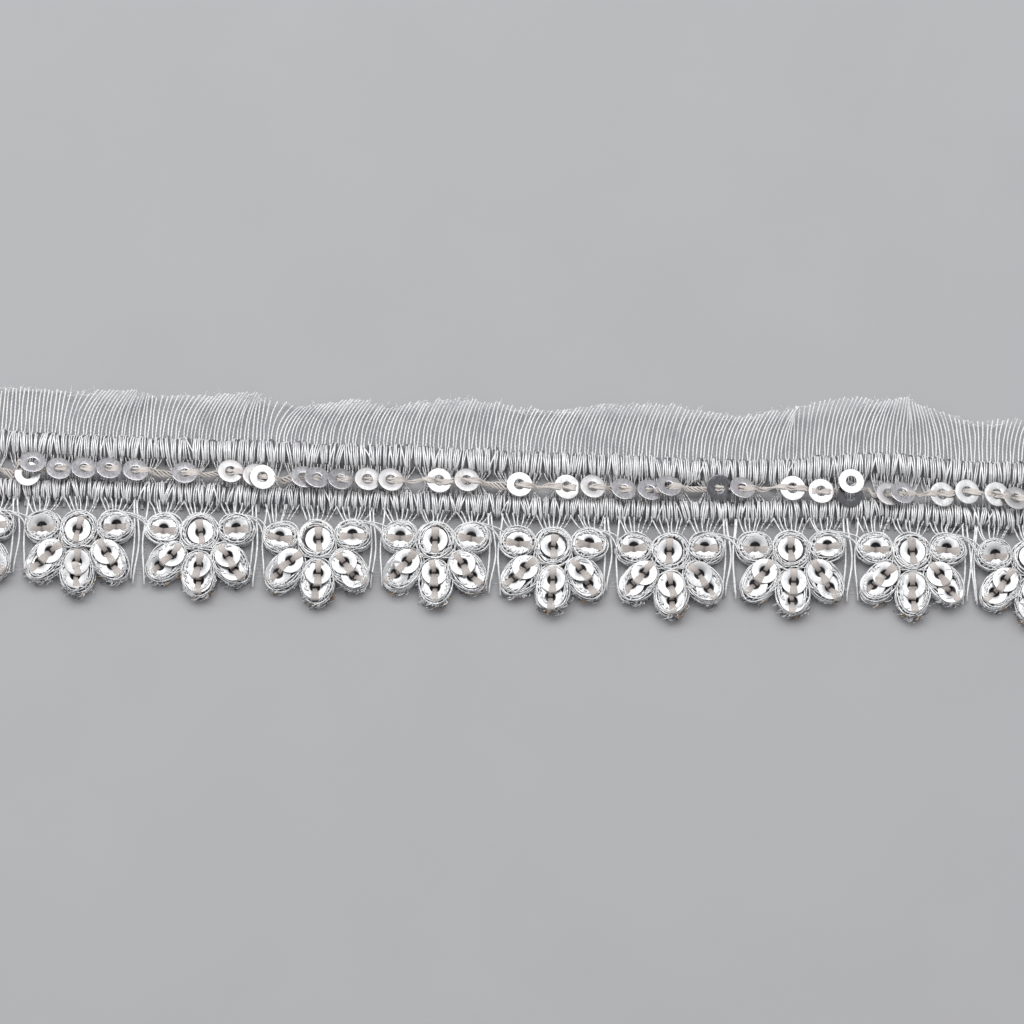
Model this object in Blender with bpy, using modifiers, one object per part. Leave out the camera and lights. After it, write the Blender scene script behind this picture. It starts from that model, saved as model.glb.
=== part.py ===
"""A cut length of silver sequin trim, lying flat, with its raw header edge rippled.

X runs along the trim, +Y points to the header edge and +Z off the surface it lies on.
The origin is at the centre of the underside. Tables are in millimetres and degrees.
Every "across" value is measured from the sequin row, positive towards the header.
"""

import math
from collections import namedtuple

import bmesh
import bpy
import numpy as np
from mathutils import Matrix

MM = 0.001

# Driving sizes of the whole trim
REPEAT = 13.75 * MM  # from the middle of one flower to the middle of the next
FLOWER_COUNT = 10
LENGTH = REPEAT * FLOWER_COUNT
ROW_Y = 1.81 * MM  # where the sequin row lies, from the middle of the trim's width
GAP = 0.3 * MM  # left between pieces that touch

# Ground cloth
CLOTH_THICKNESS = 1.0 * MM
CLOTH_TOP = CLOTH_THICKNESS + GAP  # the level that the embroidery starts from
HEADER_ROWS = 4
HEADER_CURL = 1.6  # how late the ripples rise towards the raw edge
HEADER_LEAN_CURL = 2.0

# Satin bands, which border the sequin row
BAND_THICKNESS = 0.7 * MM
BAND_STATIONS = 64
BAND_SECTION = ((-1.0, 0.0), (-1.0, 0.4), (-0.45, 1.0), (0.45, 1.0), (1.0, 0.4), (1.0, 0.0))
BAND_RAGGED = 0.12 * MM
Band = namedtuple("Band", "half_width seed")
BANDS = {
    "upper": Band(1.32, 3),
    "lower": Band(1.05, 5),
}

# Sequins
SEQUIN_DIAMETER = 3.0 * MM
SEQUIN_HOLE = 1.1 * MM
SEQUIN_THICKNESS = 0.25 * MM
SEQUIN_SIDES = 10
SEQUIN_LEVEL = 2.52 * MM  # the middle of a row sequin that has no lift
MERGE_DISTANCE = 0.01 * MM
SHARP_ANGLE = 35.0  # edges that turn more than this stay crisp
THREAD_RADIUS = 0.25 * MM
THREAD_STATIONS = 50

# Flowers, measured from the middle of each flower's upper middle petal
FLOWER_ACROSS = -6.95 * MM
PAD_HEIGHT = 1.75 * MM
PAD_SIDES = 10
PAD_ROUNDING = 0.4 * MM
DISC_RISE = 0.2 * MM  # how far the lower sequin of a petal stands above the pad
DISC_STEP = 0.22 * MM  # how much higher the overlapping sequin lies
DISC_SIDES = 8
DISC_TURN = (9.0, 16.0)  # for the lower sequin and the overlapping one
DISC_BITE = 0.3 * MM  # how deep a sequin sinks into the stitching under it

# Lower edge of the ground cloth, beside one flower
CROWN = 2.25 * MM  # top of the upper petals
PETAL_CLEARANCE = 0.35 * MM
NOTCH_ACROSS = -3.75 * MM
TONGUE_HALF_WIDTH = 0.22 * MM
TONGUE_FLANK = 0.05 * MM
TONGUE_ACROSS = -12.6 * MM
UNDER_BAND_ACROSS = -3.4 * MM
Hem = namedtuple("Hem", "offset on_crown")
HEM_OF_FLOWER = (
    Hem(-5.6, False),
    Hem(-5.2, True),
    Hem(-3.3, True),
    Hem(-2.7, False),
    Hem(-2.0, False),
    Hem(-1.5, True),
    Hem(1.5, True),
    Hem(2.0, False),
    Hem(2.7, False),
    Hem(3.3, True),
    Hem(5.2, True),
    Hem(5.6, False),
)

# Middle of each satin band: the lay of the trim wanders, and one place is drawn up
Wander = namedtuple("Wander", "along upper lower")
WANDERS = (
    Wander(-68.8, 3.3, -2.1),
    Wander(-55.3, 3.3, -2.15),
    Wander(-47.9, 3.1, -2.0),
    Wander(-40.5, 3.0, -2.2),
    Wander(-29.5, 3.0, -2.3),
    Wander(-18.4, 2.9, -2.4),
    Wander(-7.3, 2.9, -2.5),
    Wander(3.8, 2.6, -2.65),
    Wander(14.9, 2.55, -2.65),
    Wander(22.2, 2.15, -2.65),
    Wander(29.6, 2.3, -2.4),
    Wander(34.8, 2.6, -2.3),
    Wander(40.7, 3.4, -1.95),
    Wander(44.4, 3.7, -1.75),
    Wander(48.1, 3.4, -2.2),
    Wander(51.8, 3.15, -2.3),
    Wander(56.0, 2.7, -2.4),
    Wander(60.0, 2.9, -2.4),
    Wander(68.8, 3.0, -2.3),
)

# Ripples of the header's raw edge: how far it reaches, leans along the trim and lifts
Ripple = namedtuple("Ripple", "along reach lean lift")
RIPPLES = (
    Ripple(-68.8, 10.0, 0.0, 0.5),
    Ripple(-62.0, 10.2, 0.5, 1.3),
    Ripple(-57.0, 10.3, 0.1, 0.4),
    Ripple(-51.5, 10.2, 0.2, 0.2),
    Ripple(-46.2, 9.9, 1.6, 1.9),
    Ripple(-41.0, 9.9, 0.2, 0.3),
    Ripple(-36.5, 9.8, 1.5, 1.0),
    Ripple(-32.0, 10.1, 1.3, 2.1),
    Ripple(-28.0, 9.9, 0.0, 0.8),
    Ripple(-25.6, 9.0, 1.6, 0.3),
    Ripple(-19.0, 9.7, 1.8, 1.7),
    Ripple(-14.0, 9.3, 1.3, 0.4),
    Ripple(-6.8, 10.1, 1.2, 2.0),
    Ripple(-1.0, 9.9, 0.6, 0.9),
    Ripple(5.0, 9.3, 1.4, 0.3),
    Ripple(10.5, 9.9, 1.3, 1.4),
    Ripple(18.5, 10.1, 1.1, 1.8),
    Ripple(26.5, 9.2, 1.2, 0.4),
    Ripple(33.0, 10.2, 1.2, 1.6),
    Ripple(39.2, 11.6, 1.3, 1.9),
    Ripple(43.5, 11.5, 1.3, 0.9),
    Ripple(47.6, 11.7, 0.2, 2.2),
    Ripple(51.5, 10.6, -0.5, 1.2),
    Ripple(56.0, 9.3, 0.4, 0.3),
    Ripple(61.5, 10.0, 0.8, 1.2),
    Ripple(68.8, 9.8, 0.0, 0.5),
)

Flower = namedtuple("Flower", "shift across turn")
FLOWERS = (
    Flower(0.0, 0.1, 1.5),
    Flower(0.05, 0.19, 1.6),
    Flower(0.3, 0.29, 0.9),
    Flower(0.14, -0.19, 3.0),
    Flower(0.12, 0.1, 0.9),
    Flower(-0.06, -0.25, 0.2),
    Flower(-0.3, -0.45, 2.0),
    Flower(-0.12, 0.1, 2.8),
    Flower(0.0, 0.27, 0.9),
    Flower(0.0, -0.1, 1.5),
)

Petal = namedtuple("Petal", "along across half_long half_short turn")
PETALS = (
    Petal(-4.15, 0.45, 2.2, 1.8, 0.0),
    Petal(0.0, 0.0, 2.4, 2.25, 0.0),
    Petal(4.15, 0.45, 2.2, 1.8, 0.0),
    Petal(-3.65, -3.5, 2.8, 1.95, 50.0),
    Petal(0.0, -5.0, 3.0, 2.0, 90.0),
    Petal(3.65, -3.6, 2.8, 1.95, -52.0),
)

# Level 0 is the sequin that lies lowest, level 1 the one that overlaps it
Disc = namedtuple("Disc", "along across level")
FLOWER_DISCS = (
    Disc(-4.15, 0.45, 0),
    Disc(0.0, 0.0, 0),
    Disc(4.15, 0.45, 0),
    Disc(-4.35, -4.2, 0),
    Disc(-3.1, -2.8, 1),
    Disc(-0.05, -5.95, 0),
    Disc(0.0, -4.1, 1),
    Disc(4.15, -4.35, 0),
    Disc(3.2, -2.85, 1),
)

# Tip raises a row sequin's left edge, lean its edge nearer the header
Sequin = namedtuple("Sequin", "along across tip lean lift")
ROW_SEQUINS = (
    Sequin(-65.2, 0.2, 12, 0, 0.0),
    Sequin(-62.4, 0.1, 12, 3, 0.0),
    Sequin(-59.5, 0.1, 12, -2, 0.0),
    Sequin(-54.3, -0.55, 4, 0, 0.0),
    Sequin(-53.7, 0.75, 8, 4, 0.55),
    Sequin(-50.7, 0.2, 12, 2, 0.0),
    Sequin(-47.8, 0.35, 12, 0, 0.0),
    Sequin(-44.9, 0.4, 12, 3, 0.0),
    Sequin(-41.8, 0.25, 12, 0, 0.0),
    Sequin(-36.1, 0.1, 6, 3, 0.0),
    Sequin(-30.8, 0.45, 10, -3, 0.0),
    Sequin(-27.9, 0.05, 12, 0, 0.0),
    Sequin(-27.0, -0.3, 12, -2, 0.46),
    Sequin(-22.3, 0.0, 12, 3, 0.0),
    Sequin(-20.7, -0.1, 12, 3, 0.26),
    Sequin(-18.0, -0.2, 12, 2, 0.26),
    Sequin(-14.9, -0.05, 12, -3, 0.0),
    Sequin(-12.2, -0.05, 12, -2, 0.0),
    Sequin(-6.6, 0.0, 10, -3, 0.0),
    Sequin(-3.4, 0.15, 10, 0, 0.0),
    Sequin(2.7, -0.2, 5, -4, 0.0),
    Sequin(8.2, -0.35, 12, -3, 0.0),
    Sequin(11.2, -0.2, 12, -2, 0.0),
    Sequin(14.8, -0.4, 12, 2, 0.0),
    Sequin(17.8, -0.4, 12, 2, 0.0),
    Sequin(20.0, 0.1, 12, 2, 0.16),
    Sequin(25.8, 0.1, 12, 4, 0.0),
    Sequin(28.5, 0.15, 12, 3, 0.0),
    Sequin(34.3, 0.25, 4, -4, 0.0),
    Sequin(37.6, 0.0, 6, -3, 0.0),
    Sequin(40.9, -0.3, 6, -4, 0.0),
    Sequin(41.0, 1.05, 4, 10, 0.8),
    Sequin(45.4, -0.1, 12, 2, 0.0),
    Sequin(47.0, 0.0, 12, 2, 0.26),
    Sequin(51.6, 0.0, 12, -4, 0.0),
    Sequin(54.5, 0.4, 12, -3, 0.0),
    Sequin(57.9, 0.2, 12, -3, 0.0),
    Sequin(60.1, -0.25, 12, 0, 0.16),
    Sequin(63.8, 0.0, 12, 2, 0.0),
    Sequin(66.5, 0.1, 12, 0, 0.0),
)

Finish = namedtuple("Finish", "colour roughness metallic")
FINISHES = {
    "organza": Finish((0.62, 0.62, 0.64), 0.55, 0.2),
    "silver_thread": Finish((0.80, 0.80, 0.82), 0.38, 0.7),
    "sequin_silver": Finish((0.86, 0.86, 0.88), 0.16, 1.0),
    "tie_thread": Finish((0.66, 0.61, 0.57), 0.6, 0.0),
    "flower_silver": Finish((0.84, 0.84, 0.86), 0.3, 0.8),
}


def clear_scene():
    """Empties the scene of every object."""
    for obj in list(bpy.data.objects):
        bpy.data.objects.remove(obj)


def new_collection(name):
    """Makes a collection in the scene and gives it back."""
    collection = bpy.data.collections.new(name)
    bpy.context.scene.collection.children.link(collection)
    return collection


def new_material(name):
    """Makes one of the trim's plain finishes."""
    finish = FINISHES[name]
    material = bpy.data.materials.new(name)
    material.use_nodes = True
    shader = material.node_tree.nodes["Principled BSDF"]
    shader.inputs["Base Color"].default_value = (*finish.colour, 1.0)
    shader.inputs["Roughness"].default_value = finish.roughness
    shader.inputs["Metallic"].default_value = finish.metallic
    return material


def mesh_from(name, points, faces):
    """Makes a mesh with its faces turned outwards."""
    mesh = bpy.data.meshes.new(name)
    mesh.from_pydata(points, [], faces)
    shape = bmesh.new()
    shape.from_mesh(mesh)
    bmesh.ops.recalc_face_normals(shape, faces=shape.faces)
    shape.to_mesh(mesh)
    shape.free()
    return mesh


def add_object(name, mesh, material, collection):
    """Links a mesh to the scene as one named piece."""
    obj = bpy.data.objects.new(name, mesh)
    if not mesh.materials:
        mesh.materials.append(material)
    collection.objects.link(obj)
    return obj


def loft(name, rings):
    """Joins rings of equal count into one closed solid with flat ends."""
    count = len(rings[0])
    points = [point for ring in rings for point in ring]
    faces = [tuple(range(count)), tuple(range(len(points) - count, len(points)))]
    for ring in range(len(rings) - 1):
        for side in range(count):
            here = ring * count + side
            there = ring * count + (side + 1) % count
            faces.append((here, there, there + count, here + count))
    return mesh_from(name, points, faces)


def read_between(table, column, along):
    """Reads one column of a table between its rows, in metres."""
    stations = [row.along for row in table]
    values = [getattr(row, column) for row in table]
    return float(np.interp(along / MM, stations, values)) * MM


def flower_place(index):
    """Along, across and turn of one flower's middle petal."""
    flower = FLOWERS[index]
    along = (index - (FLOWER_COUNT - 1) / 2) * REPEAT + flower.shift * MM
    return along, FLOWER_ACROSS + flower.across * MM, math.radians(flower.turn)


def cloth_columns():
    """Points along the cloth's lower edge: (along, across), left to right.

    Each flower has three crowns of cloth above its upper petals, with a notch at each valley.
    A narrow tongue of bare threads hangs down between neighbouring flowers.
    """
    columns = [(-LENGTH / 2, NOTCH_ACROSS)]
    for index in range(FLOWER_COUNT):
        centre, across, turn = flower_place(index)
        for hem in HEM_OF_FLOWER:
            crown = across + CROWN + PETAL_CLEARANCE + math.sin(turn) * hem.offset * MM
            columns.append((centre + hem.offset * MM, crown if hem.on_crown else NOTCH_ACROSS))
        if index < FLOWER_COUNT - 1:
            middle = (centre + flower_place(index + 1)[0]) / 2
            flank = TONGUE_HALF_WIDTH + TONGUE_FLANK
            columns.append((middle - flank, NOTCH_ACROSS))
            columns.append((middle - TONGUE_HALF_WIDTH, TONGUE_ACROSS))
            columns.append((middle + TONGUE_HALF_WIDTH, TONGUE_ACROSS))
            columns.append((middle + flank, NOTCH_ACROSS))
    columns.append((LENGTH / 2, NOTCH_ACROSS))
    return columns


def header_point(along, share):
    """A point of the header cloth, from its root at share 0 to its raw edge at share 1."""
    root = read_between(WANDERS, "upper", along) + BANDS["upper"].half_width * MM
    reach = read_between(RIPPLES, "reach", along)
    return (
        along + read_between(RIPPLES, "lean", along) * share**HEADER_LEAN_CURL,
        ROW_Y + root + (reach - root) * share,
        read_between(RIPPLES, "lift", along) * share**HEADER_CURL,
    )


def ground_cloth(material, collection):
    """The one-piece sheer ground: rippled header, flat middle and notched lower edge."""
    columns = cloth_columns()
    header_columns = [along for along, _ in columns[::2]]
    points, faces = [], []
    for row in range(HEADER_ROWS + 1):
        share = 1 - row / HEADER_ROWS
        points += [header_point(along, share) for along in header_columns]
    width = len(header_columns)
    for row in range(HEADER_ROWS):
        for column in range(width - 1):
            here = row * width + column
            faces.append((here + width, here + width + 1, here + 1, here))
    root = HEADER_ROWS * width
    under = len(points)
    points += [(along, ROW_Y + UNDER_BAND_ACROSS, 0.0) for along, _ in columns]
    edge = len(points)
    points += [(along, ROW_Y + across, 0.0) for along, across in columns]
    for column in range(width - 1):
        below = under + 2 * column
        faces.append((below, below + 1, below + 2, root + column + 1, root + column))
    for column in range(len(columns) - 1):
        here = under + column
        faces.append((edge + column, edge + column + 1, here + 1, here))
    mesh = bpy.data.meshes.new("ground_cloth")
    mesh.from_pydata(points, [], faces)
    cloth = add_object("ground_cloth", mesh, material, collection)
    thicken = cloth.modifiers.new("thickness", "SOLIDIFY")
    thicken.thickness = CLOTH_THICKNESS
    thicken.offset = 1.0
    return cloth


def satin_band(side, material, collection):
    """A padded row of satin stitches on the upper or lower side of the sequin row."""
    uneven = np.random.default_rng(BANDS[side].seed)
    rings = []
    for station in range(BAND_STATIONS + 1):
        along = (station / BAND_STATIONS - 0.5) * (LENGTH - 2 * GAP)
        middle = ROW_Y + read_between(WANDERS, side, along)
        half = BANDS[side].half_width * MM + uneven.uniform(0, 1) * BAND_RAGGED
        rings.append(
            [
                (along, middle + half * share, CLOTH_TOP + BAND_THICKNESS * rise)
                for share, rise in BAND_SECTION
            ]
        )
    name = f"{side}_satin_band"
    return add_object(name, loft(name, rings), material, collection)


def sequin_thread(material, collection):
    """The chain of thread that runs under the row sequins and holds them."""
    curve = bpy.data.curves.new("sequin_thread", "CURVE")
    curve.dimensions = "3D"
    curve.bevel_depth = THREAD_RADIUS
    curve.bevel_resolution = 0
    curve.use_fill_caps = True
    reach = LENGTH / 2 - GAP
    spline = curve.splines.new("POLY")
    spline.points.add(THREAD_STATIONS - 1)
    for point, along in zip(spline.points, np.linspace(-reach, reach, THREAD_STATIONS)):
        across = read_between(ROW_SEQUINS, "across", along) / 2
        point.co = (along, ROW_Y + across, CLOTH_TOP + THREAD_RADIUS, 1.0)
    return add_object("sequin_thread", curve, material, collection)


def sequin_section():
    """The section of a sequin, from its hole out to its rim and back."""
    half = SEQUIN_THICKNESS / 2
    corners = (
        (SEQUIN_HOLE / 2, 0.0, half),
        (SEQUIN_DIAMETER / 2, 0.0, half),
        (SEQUIN_DIAMETER / 2, 0.0, -half),
        (SEQUIN_HOLE / 2, 0.0, -half),
    )
    mesh = bpy.data.meshes.new("sequin")
    mesh.from_pydata(corners, [(0, 1), (1, 2), (2, 3), (3, 0)], [])
    return mesh


def row_sequins(material, collection):
    """The sequins that are sewn one after another along the row."""
    section = sequin_section()
    for number, sequin in enumerate(ROW_SEQUINS, 1):
        disc = add_object(f"sequin_{number:02d}", section, material, collection)
        disc.location = (
            sequin.along * MM,
            ROW_Y + sequin.across * MM,
            SEQUIN_LEVEL + sequin.lift * MM,
        )
        disc.rotation_euler = (math.radians(sequin.lean), math.radians(sequin.tip), 0.0)
        turned = disc.modifiers.new("turned", "SCREW")
        turned.steps = SEQUIN_SIDES
        turned.render_steps = SEQUIN_SIDES
        turned.use_merge_vertices = True
        turned.merge_threshold = MERGE_DISTANCE


def cylinder(name, sides, height, collection):
    """A unit cylinder standing on the floor, to be stretched to its petal."""
    mesh = bpy.data.meshes.new(name)
    shape = bmesh.new()
    bmesh.ops.create_cone(
        shape, cap_ends=True, segments=sides, radius1=1.0, radius2=1.0, depth=height,
        matrix=Matrix.Translation((0, 0, height / 2)),
    )  # fmt: skip
    shape.to_mesh(mesh)
    shape.free()
    obj = bpy.data.objects.new(name, mesh)
    collection.objects.link(obj)
    return obj


def petal_pad(petal, helpers):
    """The padded stitching of one petal: an oval with a rounded upper edge."""
    pad = cylinder("petal_pad", PAD_SIDES, PAD_HEIGHT, helpers)
    pad.data.transform(
        Matrix.Translation((petal.along * MM, petal.across * MM, 0))
        @ Matrix.Rotation(math.radians(petal.turn), 4, "Z")
        @ Matrix.Diagonal((petal.half_long * MM, petal.half_short * MM, 1, 1))
    )
    shape = bmesh.new()
    shape.from_mesh(pad.data)
    upper = [e for e in shape.edges if all(v.co.z > PAD_HEIGHT / 2 for v in e.verts)]
    bmesh.ops.bevel(
        shape, geom=upper, offset=PAD_ROUNDING, segments=1, affect="EDGES", profile=0.5
    )
    shape.to_mesh(pad.data)
    shape.free()
    return pad


def petal_disc(disc, helpers):
    """A sequin of a flower, sunk a little into the stitching under it."""
    rise = DISC_RISE + DISC_STEP * disc.level
    low = PAD_HEIGHT - DISC_BITE
    solid = cylinder("petal_disc", DISC_SIDES, rise + DISC_BITE, helpers)
    radius = SEQUIN_DIAMETER / 2
    solid.data.transform(
        Matrix.Translation((disc.along * MM, disc.across * MM, low))
        @ Matrix.Rotation(math.radians(DISC_TURN[disc.level]), 4, "Z")
        @ Matrix.Diagonal((radius, radius, 1, 1))
    )
    return solid


def flower_mesh(helpers):
    """Six stitched petals and their nine sequins, joined into one solid."""
    shapes = [petal_pad(petal, helpers) for petal in PETALS]
    shapes += [petal_disc(disc, helpers) for disc in FLOWER_DISCS]
    body = shapes[0]
    for number, other in enumerate(shapes[1:]):
        union = body.modifiers.new(f"join_{number}", "BOOLEAN")
        union.operation = "UNION"
        union.object = other
    bpy.context.view_layer.update()
    graph = bpy.context.evaluated_depsgraph_get()
    mesh = bpy.data.meshes.new_from_object(body.evaluated_get(graph))
    mesh.name = "flower"
    for shape in shapes:
        bpy.data.objects.remove(shape)
    return mesh


def flowers(material, collection, helpers):
    """The row of embroidered flowers along the lower edge."""
    mesh = flower_mesh(helpers)
    mesh.materials.clear()
    mesh.shade_smooth()
    mesh.set_sharp_from_angle(angle=math.radians(SHARP_ANGLE))
    for index in range(FLOWER_COUNT):
        along, across, turn = flower_place(index)
        flower = add_object(f"flower_{index + 1:02d}", mesh, material, collection)
        flower.location = (along, ROW_Y + across, 0.0)
        flower.rotation_euler = (0.0, 0.0, turn)


def main():
    clear_scene()
    trim = new_collection("sequin_trim")
    helpers = new_collection("helpers")
    finishes = {name: new_material(name) for name in FINISHES}
    ground_cloth(finishes["organza"], trim)
    for side in BANDS:
        satin_band(side, finishes["silver_thread"], trim)
    sequin_thread(finishes["tie_thread"], trim)
    row_sequins(finishes["sequin_silver"], trim)
    flowers(finishes["flower_silver"], trim, helpers)


main()
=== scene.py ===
# Silver sequin trim laid out flat: sheer ground, satin bands, sewn sequins and a flower edge.
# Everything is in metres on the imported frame. X runs along the trim and +Y to its raw edge.
# "Across" is measured from the sequin row. Tables are in millimetres and degrees.
import math

import bpy
import numpy as np
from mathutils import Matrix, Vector


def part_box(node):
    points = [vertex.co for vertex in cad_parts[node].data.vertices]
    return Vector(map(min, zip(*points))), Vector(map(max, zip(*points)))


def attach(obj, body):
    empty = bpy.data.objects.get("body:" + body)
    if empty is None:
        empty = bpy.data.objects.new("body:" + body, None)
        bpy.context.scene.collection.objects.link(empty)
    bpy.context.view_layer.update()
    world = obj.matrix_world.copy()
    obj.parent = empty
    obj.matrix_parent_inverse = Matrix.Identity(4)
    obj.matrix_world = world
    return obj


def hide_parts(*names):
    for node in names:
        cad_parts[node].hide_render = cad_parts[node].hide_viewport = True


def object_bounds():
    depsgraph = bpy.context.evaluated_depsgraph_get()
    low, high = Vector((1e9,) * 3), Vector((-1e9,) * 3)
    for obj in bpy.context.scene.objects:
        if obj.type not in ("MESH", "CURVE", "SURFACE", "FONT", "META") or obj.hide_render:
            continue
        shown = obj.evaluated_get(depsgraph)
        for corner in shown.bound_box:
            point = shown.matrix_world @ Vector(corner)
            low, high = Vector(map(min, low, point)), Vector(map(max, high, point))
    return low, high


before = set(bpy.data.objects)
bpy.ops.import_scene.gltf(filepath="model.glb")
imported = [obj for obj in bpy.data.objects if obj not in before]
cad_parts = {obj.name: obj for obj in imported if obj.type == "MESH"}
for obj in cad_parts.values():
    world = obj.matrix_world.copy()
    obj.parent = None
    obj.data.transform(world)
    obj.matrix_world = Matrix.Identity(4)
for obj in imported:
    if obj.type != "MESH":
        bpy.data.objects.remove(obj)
cadLow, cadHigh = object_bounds()
print("frame loaded:", len(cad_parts), "nodes")

mm = 0.001
rowY = 1.81 * mm  # the line that the row sequins are sewn on
trimEnds = (cadLow.x + 0.1 * mm, cadHigh.x)
flowerCount = 10
sequinSize = {"diameter": 3.0 * mm, "hole": 1.15 * mm, "thickness": 0.07 * mm, "around": 32}


# Thread tools
def unit(vectors):
    lengths = np.linalg.norm(vectors, axis=-1, keepdims=True)
    return vectors / np.maximum(lengths, 1e-12)


def newStore():
    parts = ("points", "faces", "sizes", "slots", "shades")
    return {"slot": 0, "count": 0, **{part: [] for part in parts}}


def addFaces(store, faces):
    store["faces"].append(faces.reshape(-1))
    store["sizes"].append(np.full(len(faces), faces.shape[1]))
    store["slots"].append(np.full(len(faces), store["slot"]))


def addThreads(
    store, paths, radius, sides=5, flat=1.0, turns=0.0, ref=(0, 0, 1), closed=False, shade=0.0
):
    # paths is (threads, points, 3); flat squashes the section, turns twists it along the thread,
    # and shade, from 0 to 1 at each point, is painted shade that the materials read
    paths = np.asarray(paths, float)
    threads, points = paths.shape[:2]
    if closed:
        tangent = unit(np.roll(paths, -1, 1) - np.roll(paths, 1, 1))
    else:
        tangent = unit(np.gradient(paths, axis=1))
    side = unit(np.cross(tangent, np.broadcast_to(np.asarray(ref, float), paths.shape)))
    up = np.cross(side, tangent)
    angle = np.arange(sides) * 2 * np.pi / sides
    turns = np.broadcast_to(np.asarray(turns, float), (threads,))
    phase = turns[:, None] * np.linspace(0, 2 * np.pi, points, endpoint=not closed)[None]
    phase = phase[:, :, None]
    across = np.cos(angle) * np.cos(phase) - flat * np.sin(angle) * np.sin(phase)
    above = np.cos(angle) * np.sin(phase) + flat * np.sin(angle) * np.cos(phase)
    radius = np.broadcast_to(np.asarray(radius, float), (threads, points))[:, :, None, None]
    rings = paths[:, :, None] + radius * (
        across[..., None] * side[:, :, None] + above[..., None] * up[:, :, None]
    )
    index = np.arange(threads * points * sides).reshape(threads, points, sides) + store["count"]
    following = np.roll(index, -1, 1) if closed else index[:, 1:]
    here = index if closed else index[:, :-1]
    quads = np.stack([here, following, np.roll(following, -1, 2), np.roll(here, -1, 2)], -1)
    store["points"].append(rings.reshape(-1, 3))
    shade = np.broadcast_to(np.asarray(shade, float), (threads, points))
    store["shades"].append(np.repeat(shade.reshape(-1), sides))
    addFaces(store, quads.reshape(-1, 4))
    if not closed:
        addFaces(store, index[:, 0])
        addFaces(store, index[:, -1, ::-1])
    store["count"] += threads * points * sides


def addShapes(store, points, faces, matrices):
    # one copy of a small closed mesh for each 4 by 4 matrix
    points = np.asarray(points, float)
    for matrix in matrices:
        placed = points @ matrix[:3, :3].T + matrix[:3, 3]
        store["points"].append(placed)
        store["shades"].append(np.zeros(len(points)))
        for sized in faces:
            addFaces(store, np.asarray(sized) + store["count"])
        store["count"] += len(points)


def makePiece(name, store, materials, nodes=()):
    mesh = bpy.data.meshes.new(name)
    points = np.concatenate(store["points"]).astype(np.float32)
    loops = np.concatenate(store["faces"]).astype(np.int32)
    sizes = np.concatenate(store["sizes"]).astype(np.int32)
    mesh.vertices.add(len(points))
    mesh.vertices.foreach_set("co", points.reshape(-1))
    mesh.loops.add(len(loops))
    mesh.loops.foreach_set("vertex_index", loops)
    mesh.polygons.add(len(sizes))
    mesh.polygons.foreach_set("loop_start", (np.cumsum(sizes) - sizes).astype(np.int32))
    mesh.polygons.foreach_set("loop_total", sizes)
    for material in materials:
        mesh.materials.append(material)
    slots = np.concatenate(store["slots"]).astype(np.int32)
    mesh.polygons.foreach_set("material_index", slots)
    shade = mesh.attributes.new("shade", "FLOAT", "POINT")
    shade.data.foreach_set("value", np.concatenate(store["shades"]).astype(np.float32))
    mesh.update(calc_edges=True)
    mesh.validate()
    mesh.shade_smooth()
    piece = bpy.data.objects.new(name, mesh)
    bpy.context.scene.collection.objects.link(piece)
    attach(piece, "root")
    if nodes:
        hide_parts(*nodes)
    return piece


def trisIn(piece):
    return sum(len(p.vertices) - 2 for p in piece.data.polygons)


def smoothStep(share):
    share = np.clip(share, 0, 1)
    return share * share * (3 - 2 * share)


def wander(at, size, step, draws):
    # a smooth random line: values every step along, read between them
    knots = np.arange(np.min(at) - step, np.max(at) + 2 * step, step)
    values = draws.normal(0, size, len(knots))
    return np.interp(at, knots, values)


# Materials
def newMaterial(name, color, roughness, metallic):
    material = bpy.data.materials.new(name)
    material.use_nodes = True
    nodes = material.node_tree.nodes
    shader = nodes["Principled BSDF"]
    shader.inputs["Base Color"].default_value = (*color, 1)
    shader.inputs["Roughness"].default_value = roughness
    shader.inputs["Metallic"].default_value = metallic
    return material, nodes, material.node_tree.links, shader


def objectPlace(nodes, links, scale):
    place = nodes.new("ShaderNodeTexCoord")
    mapping = nodes.new("ShaderNodeMapping")
    mapping.inputs["Scale"].default_value = scale
    links.new(place.outputs["Object"], mapping.inputs["Vector"])
    return mapping.outputs["Vector"]


def addNoise(nodes, links, scale, detail, stretch=(1, 1, 1)):
    noise = nodes.new("ShaderNodeTexNoise")
    noise.inputs["Scale"].default_value = scale
    noise.inputs["Detail"].default_value = detail
    links.new(objectPlace(nodes, links, stretch), noise.inputs["Vector"])
    return noise.outputs["Fac"]


def addRamp(nodes, links, source, stops):
    ramp = nodes.new("ShaderNodeValToRGB")
    ramp.color_ramp.elements.remove(ramp.color_ramp.elements[1])
    for number, (position, color) in enumerate(stops):
        elements = ramp.color_ramp.elements
        stop = elements[0] if number == 0 else elements.new(position)
        stop.position = position
        stop.color = (*color, 1)
    links.new(source, ramp.inputs["Fac"])
    return ramp.outputs["Color"]


def addBump(nodes, links, shader, height, strength, distance):
    bump = nodes.new("ShaderNodeBump")
    bump.inputs["Strength"].default_value = strength
    bump.inputs["Distance"].default_value = distance
    links.new(height, bump.inputs["Height"])
    links.new(bump.outputs["Normal"], shader.inputs["Normal"])


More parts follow.
